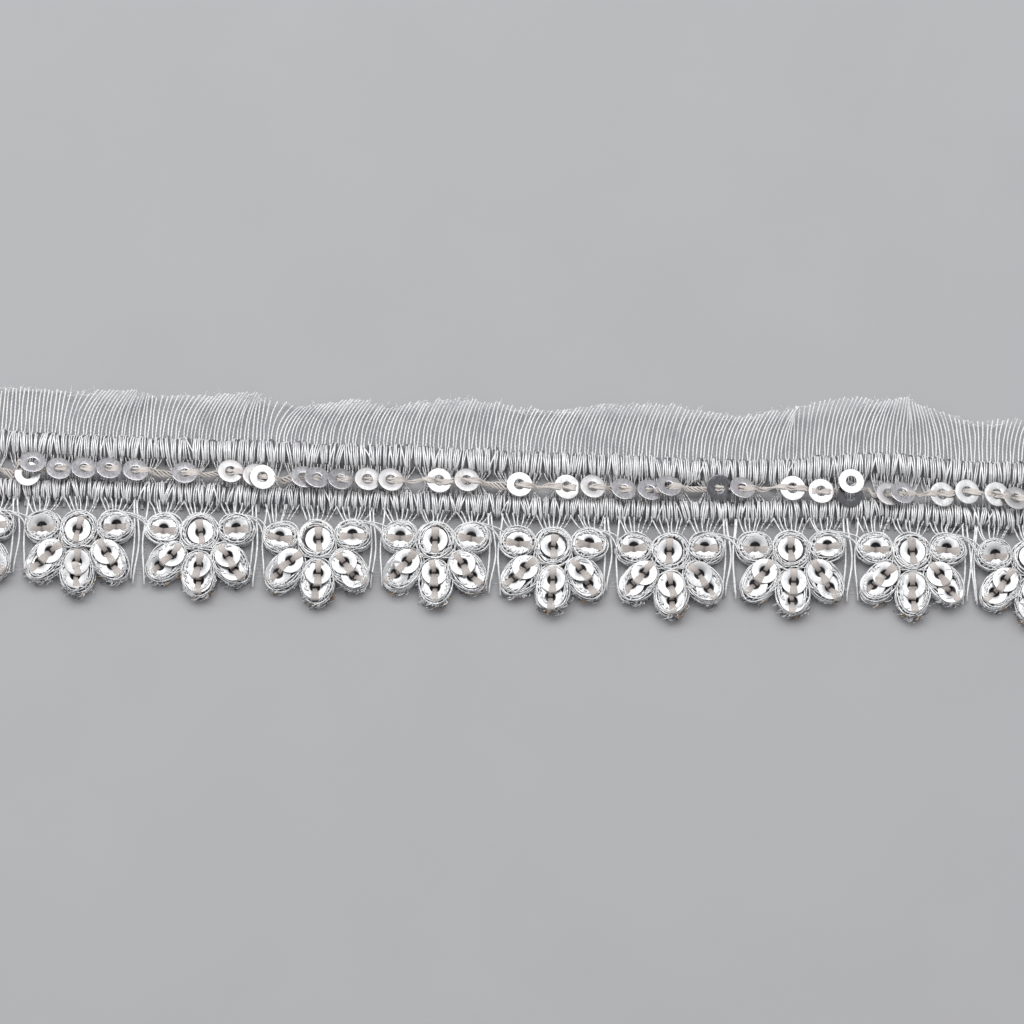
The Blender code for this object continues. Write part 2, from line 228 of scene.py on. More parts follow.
finishes = {
    "foil": {
        "light": (0.97, 0.97, 0.97),
        "dark": (0.70, 0.70, 0.72),
        "rough": 0.34,
        "metal": 0.25,
    },
    "header": {
        "light": (0.92, 0.92, 0.92),
        "dark": (0.66, 0.66, 0.68),
        "rough": 0.45,
        "metal": 0.15,
    },
    "tie": {
        "light": (0.72, 0.67, 0.635),
        "dark": (0.56, 0.51, 0.48),
        # painted shade for the filaments going down into a sequin's hole
        "shaded": (0.32, 0.28, 0.26),
        "rough": 0.42,
        "metal": 0.0,
    },
    # dark core thread: the real grey core, darkened as painted shade for the gaps and slits it
    # shows through
    "core": {"light": (0.22, 0.22, 0.24), "dark": (0.08, 0.08, 0.09), "rough": 0.5, "metal": 0.3},
    "amber": {"light": (0.62, 0.40, 0.20), "dark": (0.26, 0.13, 0.06), "rough": 0.45, "metal": 0.2},
}


def threadMaterial(name, finish, spots=900, fibre=9000):
    # patchy metal or cotton: darker stretches, fine fibres in colour, gloss and bump
    look = finishes[finish]
    material, nodes, links, shader = newMaterial(name, look["light"], look["rough"], look["metal"])
    patches = addNoise(nodes, links, spots, 3)
    fibres = addNoise(nodes, links, fibre, 2)
    mix = nodes.new("ShaderNodeMath")
    mix.operation = "MULTIPLY_ADD"
    mix.inputs[1].default_value = 0.6
    links.new(patches, mix.inputs[0])
    half = nodes.new("ShaderNodeMath")
    half.operation = "MULTIPLY"
    half.inputs[1].default_value = 0.4
    links.new(fibres, half.inputs[0])
    links.new(half.outputs["Value"], mix.inputs[2])
    stops = [(0.36, look["dark"]), (0.52, look["light"])]
    color = addRamp(nodes, links, mix.outputs["Value"], stops)
    # painted shade: the colour goes towards the shaded colour where the shade attribute is high
    if "shaded" in look:
        shade = nodes.new("ShaderNodeAttribute")
        shade.attribute_name = "shade"
        blend = nodes.new("ShaderNodeMix")
        blend.data_type = "RGBA"
        links.new(shade.outputs["Fac"], blend.inputs["Factor"])
        links.new(color, blend.inputs["A"])
        blend.inputs["B"].default_value = (*look["shaded"], 1)
        color = blend.outputs["Result"]
    links.new(color, shader.inputs["Base Color"])
    gloss = nodes.new("ShaderNodeMapRange")
    gloss.inputs["To Min"].default_value = look["rough"] - 0.12
    gloss.inputs["To Max"].default_value = look["rough"] + 0.2
    links.new(fibres, gloss.inputs["Value"])
    links.new(gloss.outputs["Result"], shader.inputs["Roughness"])
    addBump(nodes, links, shader, fibres, 0.5, 0.03 * mm)
    return material


def sequinMaterial(name, color, roughness):
    # mirror film on thin plastic, a little crinkled, with faint scuffs
    material, nodes, links, shader = newMaterial(name, color, roughness, 1.0)
    crinkle = addNoise(nodes, links, 700, 3)
    scuff = addNoise(nodes, links, 4200, 4, (1, 0.35, 1))
    tone = addRamp(
        nodes, links, crinkle, [(0.3, tuple(0.93 * c for c in color)), (0.6, color)]
    )
    links.new(tone, shader.inputs["Base Color"])
    gloss = nodes.new("ShaderNodeMapRange")
    gloss.inputs["From Min"].default_value = 0.35
    gloss.inputs["From Max"].default_value = 0.75
    gloss.inputs["To Min"].default_value = roughness
    gloss.inputs["To Max"].default_value = roughness + 0.22
    links.new(scuff, gloss.inputs["Value"])
    links.new(gloss.outputs["Result"], shader.inputs["Roughness"])
    addBump(nodes, links, shader, crinkle, 0.12, 0.03 * mm)
    return material


def clearMaterial(name):
    # fine clear filament, hardly seen
    material, nodes, links, shader = newMaterial(name, (0.75, 0.75, 0.78), 0.3, 0.0)
    streaks = addNoise(nodes, links, 2500, 2)
    alpha = nodes.new("ShaderNodeMapRange")
    alpha.inputs["To Min"].default_value = 0.12
    alpha.inputs["To Max"].default_value = 0.4
    links.new(streaks, alpha.inputs["Value"])
    links.new(alpha.outputs["Result"], shader.inputs["Alpha"])
    return material


foilThread = threadMaterial("silverThread", "foil")
headerThread = threadMaterial("headerThread", "header", spots=500)
weftThread = clearMaterial("clearWeft")
tieThread = threadMaterial("tieThread", "tie", spots=600)
coreAndPaintedShadeThread = threadMaterial("petalCoreAndPaintedShade", "core")
amberThread = threadMaterial("amberTip", "amber")
# one mirror film copied for each shade of the row: the base colours are set by how each sequin
# should catch the light, painted shade and painted reflection, darkest in the dark one
sequinFilmPaintedShade = {
    "bright": sequinMaterial("sequinBright", (0.58, 0.58, 0.585), 0.36),
    "light": sequinMaterial("sequinLight", (0.52, 0.51, 0.515), 0.34),
    "grey": sequinMaterial("sequinGrey", (0.70, 0.685, 0.71), 0.24),
    "deep": sequinMaterial("sequinDeep", (0.56, 0.55, 0.57), 0.22),
    "dark": sequinMaterial("sequinPaintedDark", (0.24, 0.24, 0.26), 0.12),
}
print("materials made")


# Lay of the trim
# Middle of each satin band, as in the solids
bandColumns = ("along", "upper", "lower")
bandRows = np.array(
    [
        (-68.8, 3.3, -2.1),
        (-55.3, 3.3, -2.15),
        (-47.9, 3.1, -2.0),
        (-40.5, 3.0, -2.2),
        (-29.5, 3.0, -2.3),
        (-18.4, 2.9, -2.4),
        (-7.3, 2.9, -2.5),
        (3.8, 2.6, -2.65),
        (14.9, 2.55, -2.65),
        (22.2, 2.15, -2.65),
        (29.6, 2.3, -2.4),
        (34.8, 2.6, -2.3),
        (40.7, 3.4, -1.95),
        (44.4, 3.7, -1.75),
        (48.1, 3.4, -2.2),
        (51.8, 3.15, -2.3),
        (56.0, 2.7, -2.4),
        (60.0, 2.9, -2.4),
        (68.8, 3.0, -2.3),
    ]
)
# Raw edge of the header: how far it reaches, how far it leans along, how high it lifts
rippleColumns = ("along", "reach", "lean", "lift")
rippleRows = np.array(
    [
        (-68.8, 10.0, 0.0, 0.5),
        (-62.0, 10.2, 0.5, 1.3),
        (-57.0, 10.3, 0.1, 0.4),
        (-51.5, 10.2, 0.3, 0.2),
        (-49.0, 10.0, 2.2, 1.4),
        (-45.5, 9.9, 2.1, 1.9),
        (-41.0, 9.9, 0.2, 0.3),
        (-36.0, 9.8, 2.1, 1.2),
        (-31.0, 10.1, 2.0, 2.1),
        (-28.0, 9.9, 0.2, 0.8),
        (-25.6, 9.0, 2.1, 0.3),
        (-18.5, 9.7, 2.2, 1.7),
        (-14.0, 9.3, 1.4, 0.4),
        (-6.8, 10.1, 1.6, 2.0),
        (-1.0, 9.9, 0.7, 0.9),
        (5.0, 9.3, 1.6, 0.3),
        (10.5, 9.9, 1.6, 1.4),
        (18.5, 10.1, 1.4, 1.8),
        (26.5, 9.2, 1.4, 0.4),
        (33.2, 10.2, 1.8, 1.6),
        (34.6, 10.4, 0.1, 1.5),
        (39.2, 11.6, 1.4, 1.9),
        (43.5, 11.5, 1.7, 0.9),
        (47.6, 11.7, 0.3, 2.2),
        (48.6, 11.5, -0.8, 2.0),
        (51.8, 10.6, -1.3, 1.2),
        (56.0, 9.3, -0.2, 0.3),
        (61.5, 10.0, 1.3, 1.2),
        (68.8, 9.8, 0.0, 0.5),
    ]
)
bandHalf = {"upper": 1.32 * mm, "lower": 1.05 * mm}


def readRows(rows, columns, column, along):
    return np.interp(along / mm, rows[:, 0], rows[:, columns.index(column)]) * mm


def bandMiddle(side, along):
    return readRows(bandRows, bandColumns, side, along)


def ripple(column, along):
    return readRows(rippleRows, rippleColumns, column, along)


def sequinPlane(node):
    # middle and facing of a row sequin, read from its solid
    low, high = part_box(node)
    points = np.array([v.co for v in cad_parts[node].data.vertices])
    middle = np.array((low + high) / 2)
    facing = np.linalg.svd(points - points.mean(0), full_matrices=False)[2][2]
    return middle, facing * np.sign(facing[2])


rowNodes = sorted(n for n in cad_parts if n.startswith("sequin_") and n[7:].isdigit())
rowPlanes = [sequinPlane(n) for n in rowNodes]
rowX = np.array([middle[0] for middle, _ in rowPlanes])
rowAcross = np.array([middle[1] for middle, _ in rowPlanes]) - rowY


drawIn = {"free": 1.1 * mm, "pull": 0.75, "most": 1.3 * mm}


def towardSequins(along):
    # how far the ground is drawn along the trim towards the nearest sewn sequin
    nearest = rowX[np.argmin(np.abs(along[:, None] - rowX[None]), axis=1)]
    gap = nearest - along
    reach = np.maximum(np.abs(gap) - drawIn["free"], 0)
    return np.sign(gap) * np.minimum(reach * drawIn["pull"], drawIn["most"])


# Ground weave
ground = {
    "warpPitch": 0.452 * mm,
    "warpRadius": 0.108 * mm,
    "weftPitch": 0.44 * mm,
    "weftRadius": 0.03 * mm,
    "waviness": 0.03 * mm,  # how far a warp thread rises over each weft
    "rest": 0.24 * mm,  # height of the cloth where it lies on the surface
    "lower": -3.8 * mm,
    "curl": 1.6,
    "leanCurl": 2.6,
    "pairing": 0.55,
    "pairReach": 0.75 * mm,
    "steps": (8, 44),  # points on each warp below the upper band and in the header
    "weftStep": 0.5 * mm,
    "headerDepth": 6.2 * mm,
    "seed": 11,
}


def headerRoot(along):
    return bandMiddle("upper", along) + bandHalf["upper"]


def warpBases(draws):
    count = int((trimEnds[1] - trimEnds[0]) / ground["warpPitch"])
    base = trimEnds[0] + (np.arange(count) + 0.5) * ground["warpPitch"]
    return base + draws.normal(0, 0.025 * mm, count)


def weavePoint(base, across):
    # where a point of the flat cloth lies: drawn together in the row, rippled in the header
    root = headerRoot(base)
    reach = ripple("reach", base)
    share = np.clip((across - root) / (reach - root), 0, 1.05)
    inRow = np.exp(-((across / (1.5 * mm)) ** 2))
    lean = ripple("lean", base) * share ** ground["leanCurl"]
    along = base + towardSequins(base) * inRow + lean
    height = ground["rest"] + ripple("lift", base) * share ** ground["curl"]
    return along, rowY + across, height


def makeGround():
    draws = np.random.default_rng(ground["seed"])
    base = warpBases(draws)
    store = newStore()
    lowSteps, headerSteps = ground["steps"]
    share = np.linspace(0, 1, headerSteps)
    root = headerRoot(base)
    reach = ripple("reach", base) + draws.normal(0, 0.14 * mm, len(base))
    header = root[:, None] + (reach - root)[:, None] * share[None]
    below = np.linspace(ground["lower"], 0, lowSteps + 1)[:-1]
    below = below[None] + root[:, None] * np.linspace(0, 1, lowSteps + 1)[None, :-1]
    across = np.concatenate([below, header], axis=1)
    flat = np.repeat(base[:, None], across.shape[1], 1)
    shape = across.shape
    x, y, z = (v.reshape(shape) for v in weavePoint(flat.reshape(-1), across.reshape(-1)))
    # threads gather in pairs where they go under the satin stitches
    pair = np.arange(len(base)) // 2
    middle = np.array([base[pair == p].mean() for p in range(pair.max() + 1)])[pair]
    gather = np.exp(-np.maximum(across - root[:, None], 0) / ground["pairReach"])
    x += (middle - base)[:, None] * ground["pairing"] * gather
    phase = (np.arange(len(base)) % 2) * np.pi
    weave = np.sin(2 * np.pi * across / ground["weftPitch"] + phase[:, None])
    z += ground["waviness"] * weave
    for row in range(len(base)):
        x[row] += wander(across[row], 0.035 * mm, 1.3 * mm, draws)
    # the thread bulges between crossings, so that it glints in short dashes
    radius = ground["warpRadius"] * (0.94 + 0.06 * weave)
    addThreads(store, np.stack([x, y, z], -1), radius, sides=5, ref=(1, 0, 0))
    addWefts(store)
    threads = [headerThread, weftThread]
    cloth = makePiece("groundCloth", store, threads, ["ground_cloth"])
    print("ground cloth:", len(base), "warps,", trisIn(cloth), "triangles")
    return cloth


def addWefts(store):
    draws = np.random.default_rng(ground["seed"] + 1)
    store["slot"] = 1
    along = np.arange(trimEnds[0], trimEnds[1], ground["weftStep"])
    root, reach = headerRoot(along), ripple("reach", along)
    count = int(ground["headerDepth"] / ground["weftPitch"])
    paths = []
    for number in range(count):
        share = (number + 0.5) / count
        across = root + (reach - root) * share + wander(along, 0.03 * mm, 3 * mm, draws)
        x, y, z = weavePoint(along, across)
        z = z + ground["waviness"] * 0.7 * (-1.0) ** (np.arange(len(along)) + number)
        paths.append(np.stack([x, y, z], -1))
    addThreads(store, np.array(paths), ground["weftRadius"], sides=3)


cloth = makeGround()


# Satin bands
satin = {
    "tuft": (0.45 * mm, 1.15 * mm),  # width of a tuft of stitches
    "slit": 0.10 * mm,
    "stitch": 0.235 * mm,
    "layers": ((1.70 * mm, 1), (1.93 * mm, 0)),  # height, and 1 for the dark core thread, whose darkness is painted shade in the slits
    "foot": 0.32 * mm,
    "radius": 0.1 * mm,
    "flat": 0.9,
    "gather": {"low": 0.34, "high": 0.12},  # how far a tuft draws together at its ends
    "ragged": 0.10 * mm,
    "longer": {"upper": (0.15 * mm, 0.38 * mm), "lower": (0.12 * mm, 0.42 * mm)},
    "seeds": {"upper": 21, "lower": 34},
}
stitchShares = np.array([0, 0.04, 0.13, 0.37, 0.63, 0.87, 0.96, 1])


def tuftStitches(draws):
    # place of each stitch, its offset from its tuft's middle, and its tuft's number
    rows, start, tuft = [], trimEnds[0] + 0.15 * mm, 0
    while start < trimEnds[1] - 0.6 * mm:
        width = draws.uniform(*satin["tuft"])
        count = max(2, round((width - satin["slit"]) / satin["stitch"]))
        for number in range(count):
            offset = (number - (count - 1) / 2) * satin["stitch"]
            rows.append((start + width / 2, offset, 2 * abs(offset) / width, tuft))
        start += width
        tuft += 1
    return np.array(rows)


def makeSatinBand(side):
    draws = np.random.default_rng(satin["seeds"][side])
    store = newStore()
    rows = tuftStitches(draws)
    centre, offset, outer, tuft = rows.T
    count = len(rows)
    tuftLean = draws.normal(0, 0.15 * mm, int(tuft.max()) + 1)[tuft.astype(int)]
    tuftLow, tuftHigh = draws.normal(0, 0.10 * mm, (2, int(tuft.max()) + 1))[:, tuft.astype(int)]
    for top, dark in satin["layers"]:
        # layer 1 takes the dark core thread: painted shade showing in the slits between tufts
        store["slot"] = dark
        middle, half = bandMiddle(side, centre), bandHalf[side]
        lowMore, highMore = satin["longer"][side]
        low = middle - half - lowMore + 0.28 * mm * outer + tuftLow
        high = middle + half + highMore - 0.10 * mm * outer + tuftHigh
        low = low + draws.normal(0, satin["ragged"], count)
        high = high + draws.normal(0, satin["ragged"], count)
        stray = np.where(draws.uniform(0, 1, count) < 0.1, draws.normal(0, 0.25 * mm, count), 0)
        lean = tuftLean + stray + draws.normal(0, 0.055 * mm, count)
        share = stitchShares[None]
        below, above = np.clip(0.5 - share, 0, 1) * 2, np.clip(share - 0.5, 0, 1) * 2
        spread = 1 - satin["gather"]["low"] * below**1.5 - satin["gather"]["high"] * above**2
        shift = dark * satin["stitch"] / 2
        x = centre[:, None] + (offset[:, None] + shift) * spread
        x = x + lean[:, None] * (share - 0.5) * 2
        x = x + draws.normal(0, 0.014 * mm, x.shape)
        y = rowY + low[:, None] + (high - low)[:, None] * share
        dome = 1 - np.abs(2 * share - 1) ** 6
        peak = top - 0.06 * mm * outer**2 + draws.normal(0, 0.065 * mm, count)
        z = satin["foot"] + (peak - satin["foot"])[:, None] * dome
        turns = draws.uniform(-0.8, 0.8, count)
        radius = satin["radius"] * draws.uniform(0.85, 1.12, count)[:, None]
        addThreads(store, np.stack([x, y, z], -1), radius, 5, satin["flat"], turns, (1, 0, 0))
    node = f"{side}_satin_band"
    band = makePiece(f"{side}Satin", store, [foilThread, coreAndPaintedShadeThread], [node])
    print(side, "band:", trisIn(band), "triangles")
    return band


for side in ("upper", "lower"):
    makeSatinBand(side)


# Row sequins
# how each sequin of the row catches the light, left to right; this picks its tilt and its film,
# whose base colour is painted shade
rowShades = (
    "light grey grey bright grey grey grey grey grey grey light light bright grey grey "
    "deep light light bright light bright bright light grey grey grey dark grey "
    "bright bright dark bright light grey bright bright bright light bright light"
).split()


def sequinShape(cup, lip):
    # rings from the hole out to the rim on top, then back underneath
    around = sequinSize["around"]
    holeR, rimR = sequinSize["hole"] / 2, sequinSize["diameter"] / 2
    shares = (0.0, 0.12, 0.5, 0.93, 1.0)
    angle = np.arange(around) * 2 * np.pi / around
    rings = []
    for under in (False, True):
        for share in shares[::-1] if under else shares:
            r = holeR + (rimR - holeR) * share
            z = cup * share**2 - lip * math.exp(-share / 0.08)
            edge = 0.35 if share in (0.0, 1.0) else 0.5
            z += sequinSize["thickness"] * (-edge if under else edge)
            rings.append(np.stack([r * np.cos(angle), r * np.sin(angle), np.full(around, z)], -1))
    points = np.concatenate(rings)
    index = np.arange(len(points)).reshape(len(rings), around)
    following = np.roll(index, -1, 0)
    quads = np.stack(
        [index, following, np.roll(following, -1, 1), np.roll(index, -1, 1)], -1
    ).reshape(-1, 4)
    return points, [quads]


def facingMatrix(middle, facing, spin=0.0):
    up = np.asarray(facing, float)
    up = up / np.linalg.norm(up)
    side = np.cross((0, 1, 0), up)
    side = side / np.linalg.norm(side)
    front = np.cross(up, side)
    turned = math.cos(spin) * side + math.sin(spin) * front
    matrix = np.eye(4)
    matrix[:3, 0] = turned
    matrix[:3, 1] = np.cross(up, turned)
    matrix[:3, 2] = up
    matrix[:3, 3] = middle
    return matrix


rowSequin = {"cup": 0.012 * mm, "lip": 0.012 * mm, "bend": 0.8, "seed": 51}
rowTilts = {"bright": 3.0, "light": 13.0, "grey": 22.0, "deep": 22.0, "dark": -10.0}


def makeRowSequins():
    draws = np.random.default_rng(rowSequin["seed"])
    matrices = []
    for node, (middle, facing), shade in zip(rowNodes, rowPlanes, rowShades):
        tip = math.tan(math.radians(rowTilts[shade] + draws.normal(0, rowSequin["bend"])))
        facing = np.array([facing[0] / facing[2], tip, 1.0])
        matrix = facingMatrix(middle, facing, draws.uniform(0, 6.28))
        store = newStore()
        shape, faces = sequinShape(rowSequin["cup"] * draws.uniform(0.1, 0.8), rowSequin["lip"])
        addShapes(store, shape, faces, [matrix])
        makePiece(f"rowSequin{node[7:]}", store, [sequinFilmPaintedShade[shade]], [node])
        matrices.append(matrix)
    print("row sequins:", len(matrices))
    return matrices


rowMatrices = makeRowSequins()


# Sequin chain
chain = {
    "strands": 5,
    "radius": 0.105 * mm,
    "ropeRadius": 0.26 * mm,
    "spread": 0.30 * mm,  # half width of the strands where they lie flat on a sequin
    "bothSides": (5, 12, 19, 20, 22, 29, 30, 35, 36, 37, 38, 39),  # band on each side of the hole
    "pitch": 2.7 * mm,
    "low": 1.3 * mm,
    "step": 0.15 * mm,
    "seed": 61,
}


def chainKnots():
    # the chain comes up through each hole, over the sequin's right side, and down to the next;
    # on some sequins it also crosses the left side before it dips into the hole
    knots = [(trimEnds[0] + 0.3 * mm, rowAcross[0], chain["low"], 0.0)]
    overRight = (
        (0.1, -0.16, 0.5),
        (0.52, 0.15, 1.0),
        (1.1, 0.17, 0.9),
        (1.55, 0.12, 0.6),
        (1.95, None, 0.0),
    )
    underLeft = ((-1.75, None, 0.0), (-0.55, -0.4, 0.2))
    overLeft = ((-1.6, 0.12, 0.6), (-1.2, 0.17, 1.0), (-0.8, 0.14, 1.0), (-0.35, -0.3, 0.5))
    for number, matrix in enumerate(rowMatrices, 1):
        middle, up = matrix[:3, 3], matrix[:3, 2]
        rise = -up[0] / up[2]  # height gained for each step along
        left = overLeft if number in chain["bothSides"] else underLeft
        for reach, above, flat in left + overRight:
            x = middle[0] + reach * mm
            z = chain["low"] if above is None else middle[2] + rise * reach * mm + above * mm
            y = middle[1] - rowY
            knots.append((x, y, z, flat))
    knots.append((trimEnds[1] - 0.3 * mm, rowAcross[-1], chain["low"], 0.0))
    knots.sort(key=lambda knot: knot[0])
    return np.array(knots)


def makeChain():
    draws = np.random.default_rng(chain["seed"])
    knots = chainKnots()
    x = np.arange(knots[0, 0], knots[-1, 0], chain["step"])
    blur = np.hanning(7)
    blur = blur / blur.sum()

    def read(column):
        values = np.interp(x, knots[:, 0], knots[:, column])
        return np.convolve(np.pad(values, 3, mode="edge"), blur, "valid")

    across, height, flat = read(1), read(2), read(3)
    across = across + wander(x, 0.06 * mm, 2.4 * mm, draws)
    loose = np.clip(1 + wander(x, 0.45, 2.1 * mm, draws), 0.5, 1.8)
    paths = []
    for strand in range(chain["strands"]):
        phase = 2 * np.pi * (x / chain["pitch"] + strand / chain["strands"])
        spread = (strand / (chain["strands"] - 1) * 2 - 1) * chain["spread"]
        rope = chain["ropeRadius"] * loose
        y = rowY + across + (1 - flat) * rope * np.cos(phase) + flat * spread
        z = height + (1 - flat) * np.minimum(rope, 0.22 * mm) * np.sin(phase)
        y = y + wander(x, 0.03 * mm, 0.9 * mm, draws)
        paths.append(np.stack([x, y, z], -1))
    store = newStore()
    addThreads(store, np.array(paths), chain["radius"], sides=5)
    piece = makePiece("sequinChain", store, [tieThread], ["sequin_thread"])
    print("chain:", trisIn(piece), "triangles")


makeChain()


# Splayed threads beside the row
splay = {"pitch": 0.42 * mm, "radius": 0.07 * mm, "high": 1.5 * mm, "low": 1.15 * mm, "seed": 71}


def makeSplay():
    draws = np.random.default_rng(splay["seed"])
    store = newStore()
    base = np.arange(trimEnds[0] + 0.4 * mm, trimEnds[1] - 0.4 * mm, splay["pitch"])
    for side, sign in (("upper", -1), ("lower", 1)):
        start = base + draws.normal(0, 0.1 * mm, len(base))
        edge = bandMiddle(side, start) + sign * (bandHalf[side] - 0.25 * mm)
        drawn = np.interp(start, rowX, rowAcross)
        foot = start + towardSequins(start) + draws.normal(0, 0.08 * mm, len(base))
        share = np.linspace(0, 1, 6)[None]
        x = start[:, None] + (foot - start)[:, None] * share**1.3
        y = rowY + edge[:, None] + (drawn - edge)[:, None] * share
        z = splay["high"] + (splay["low"] - splay["high"]) * share ** 0.6
        z = np.repeat(z, len(base), 0) + draws.normal(0, 0.03 * mm, x.shape)
        addThreads(store, np.stack([x, y, z], -1), splay["radius"], 4, 0.8, 1.0, (1, 0, 0))
    piece = makePiece("rowSplay", store, [foilThread])
    print("splayed threads:", trisIn(piece), "triangles")


makeSplay()


# Flowers
# each petal's place (along, across), half length, half width and turn
petalRows = (
    (-4.15, 0.45, 2.15, 1.85, 0.0),
    (0.0, 0.0, 2.3, 2.3, 0.0),
    (4.15, 0.45, 2.15, 1.85, 0.0),
    (-3.65, -3.5, 2.75, 1.95, 50.0),
    (0.0, -4.85, 2.7, 2.0, 90.0),
    (3.65, -3.6, 2.75, 1.95, -52.0),
)
# level 0 lies under level 1; the tie band runs at the angle given
flowerSequins = (
    {"along": -4.15, "across": 0.45, "level": 0, "tie": 0},
    {"along": 0.0, "across": 0.0, "level": 0, "tie": 90},
    {"along": 4.15, "across": 0.45, "level": 0, "tie": 0},
    {"along": -4.45, "across": -4.0, "level": 0, "tie": 42},
    {"along": -3.1, "across": -2.7, "level": 1, "tie": 46},
    {"along": -0.1, "across": None, "level": 0, "tie": 90},  # the lowest, placed by flower
    {"along": 0.0, "across": -4.0, "level": 1, "tie": 90},
    {"along": 4.2, "across": -4.45, "level": 0, "tie": -50},
    {"along": 3.15, "across": -2.85, "level": 1, "tie": -54},
)
lowestSequins = (-5.8, -5.55, -5.75, -5.65, -5.55, -6.05, -5.85, -5.95, -5.7, -5.8)
flowerTurns = (1.5, 1.6, 0.9, 3.0, 0.9, 0.2, 2.0, 2.8, 0.9, 1.5)
flowerLook = {
    "tip": -8.0 * mm,  # lowest point of a flower, from its middle petal
    "drop": 0.2 * mm,
    "rounds": (  # inset from the petal's outline and height of each round of thread
        (0.04, 0.35),
        (0.0, 0.8),
        (0.0, 1.25),
        (0.04, 1.6),
        (0.24, 1.86),
        (0.46, 1.98),
        (0.64, 1.92),
    ),
    "roundRadius": 0.113 * mm,
    "roundPoints": 36,
    "wraps": 22,
    "fuzz": 84,
    "sequinLevels": (1.88 * mm, 2.10 * mm),
    "seed": 81,
}


def flowerPlace(number):
    low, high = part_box(f"flower_{number:02d}")
    return np.array([(low.x + high.x) / 2, low.y - flowerLook["tip"] - flowerLook["drop"], 0.0])


def ovalPoint(petal, angle, inset):
    # a point on a petal's outline, drawn in by an inset, in the flower's own place
    along, across, halfLong, halfShort, turn = petal
    x = (halfLong * mm - inset) * np.cos(angle)
    y = (halfShort * mm - inset) * np.sin(angle)
    turn = math.radians(turn)
    return (
        along * mm + x * math.cos(turn) - y * math.sin(turn),
        across * mm + x * math.sin(turn) + y * math.cos(turn),
    )


def petalMound(store, petal, draws):
    # the padding under a petal's stitches, a low uneven mound, in the dark core thread, darkened as
    # painted shade between the stitches
    around = 40
    angle = np.arange(around) * 2 * np.pi / around
    profile = ((0.2, 0.12), (0.14, 0.7), (0.24, 1.25), (0.52, 1.6), (0.85, 1.5), (1.3, 0.95))
    rings = []
    for inset, height in profile:
        x, y = ovalPoint(petal, angle, inset * mm + draws.normal(0, 0.02 * mm, around))
        z = height * mm + draws.normal(0, 0.03 * mm, around)
        rings.append(np.stack([x, y, z], -1))
    points = np.concatenate(rings)
    index = np.arange(len(points)).reshape(len(rings), around)
    here, following = index[:-1], index[1:]
    quads = np.stack(
        [here, np.roll(here, -1, 1), np.roll(following, -1, 1), following], -1
    ).reshape(-1, 4)
    addShapes(store, points, [quads, index[0][None, ::-1], index[-1][None]], [np.eye(4)])


def petalRounds(store, petal, draws):
    points = flowerLook["roundPoints"]
    angle = np.arange(points) * 2 * np.pi / points
    paths = []
    for inset, height in flowerLook["rounds"]:
        waves = draws.uniform(0, 6.28, 4)
        drift = 0.075 * mm * (np.sin(2 * angle + waves[0]) + 0.8 * np.sin(3 * angle + waves[1]))
        lift = 0.05 * mm * (np.sin(2 * angle + waves[2]) + np.sin(5 * angle + waves[3]))
        x, y = ovalPoint(petal, angle, inset * mm + drift)
        paths.append(np.stack([x, y, height * mm + lift], -1))
    turns = draws.integers(3, 7, len(paths))
    radius = flowerLook["roundRadius"] * draws.uniform(0.75, 1.15, len(paths))[:, None]
    addThreads(store, np.array(paths), radius, 5, 0.65, turns, (0, 0, 1), closed=True)


def petalWraps(store, petal, draws):
    # short stitches slanting over the rim
    count = flowerLook["wraps"]
    start = (np.arange(count) + draws.uniform(0, 0.8, count)) * 2 * np.pi / count
    slant = draws.normal(0.55, 0.2, count) * draws.choice((1, 1, 1, -1), count)
    share = np.linspace(0, 1, 7)[None]
    angle = start[:, None] + slant[:, None] * share
    inset = (-0.03 + 0.72 * share) * mm
    x, y = ovalPoint(petal, angle, np.repeat(inset, count, 0))
    z = (0.75 + 1.35 * np.sin(share * np.pi * 0.62)) * mm + draws.normal(0, 0.04 * mm, (count, 1))
    addThreads(store, np.stack([x, y, z], -1), 0.108 * mm, 5, 0.7, 1.0)


def flowerFuzz(store, draws, count):
    # loose ends and little loops under the lowest rims; half of them take the dark core thread as
    # painted shade on the lower sides
    for number in range(count):
        # slot 2, the dark core thread, is painted shade; slot 1 is the amber thread
        store["slot"] = 1 if number % 9 == 0 else 2 * (number % 2)
        petal = petalRows[int(draws.choice((3, 4, 4, 4, 5)))]
        downward = math.radians(-90 - petal[4])
        angle = downward + draws.normal(0, 0.6)
        x, y = ovalPoint(petal, angle, draws.uniform(-0.2, 0.1) * mm)
        share = np.linspace(0, 1, 7)
        curl = draws.uniform(0.15, 0.45) * mm
        bend = draws.uniform(0, 6.28)
        dx = curl * np.sin(share * np.pi * 1.3 + bend)
        dy = -curl * 0.8 * share + curl * 0.5 * np.cos(share * 4 + bend)
        z = draws.uniform(0.2, 1.7) * mm + curl * np.sin(share * 3 + bend)
        path = np.stack([x + dx, y + dy, np.maximum(z, 0.06 * mm)], -1)
        addThreads(store, path[None], draws.uniform(0.04, 0.07) * mm, 4, 0.8, 1.0, (0.3, 0.2, 1))
    store["slot"] = 0


